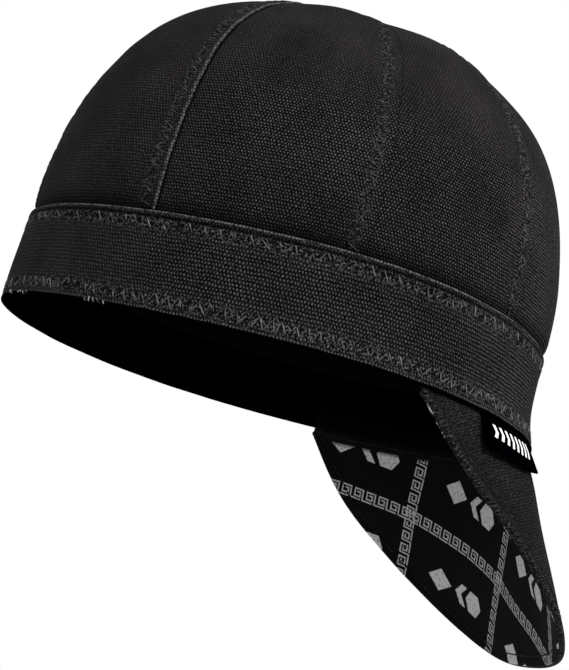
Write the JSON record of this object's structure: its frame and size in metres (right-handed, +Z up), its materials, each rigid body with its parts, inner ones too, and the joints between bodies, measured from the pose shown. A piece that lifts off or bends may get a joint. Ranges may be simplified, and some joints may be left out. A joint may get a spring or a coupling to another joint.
{
  "type": "welding cap",
  "caption": "Domed cloth work cap of lapped panels on a tall straight band, with a short lined bill that hangs down on one side.",
  "frame": {"origin": "centre of the head opening, in the plane of the band's lower edge", "axes": "+Z up through the crown; +Y towards the side opposite the bill; the bill hangs down on the -Y side; X across the head"},
  "size_m": [0.1803, 0.2308, 0.2157],
  "materials": {
    "canvas": "matt black cotton duck canvas with a visible plain weave",
    "lining": "smooth black printed cotton with a pale grey pattern",
    "label": "black woven tape with pale chevrons"
  },
  "bodies": {
    "root": {"crown_panel_1": "canvas", "crown_panel_2": "canvas", "crown_panel_3": "canvas", "crown_panel_4": "canvas", "crown_panel_5": "canvas", "crown_panel_6": "canvas", "crown_panel_7": "canvas", "crown_panel_8": "canvas", "band": "canvas", "bill_outer": "canvas", "bill_lining": "lining", "label": "label"}
  },
  "joints": []
}
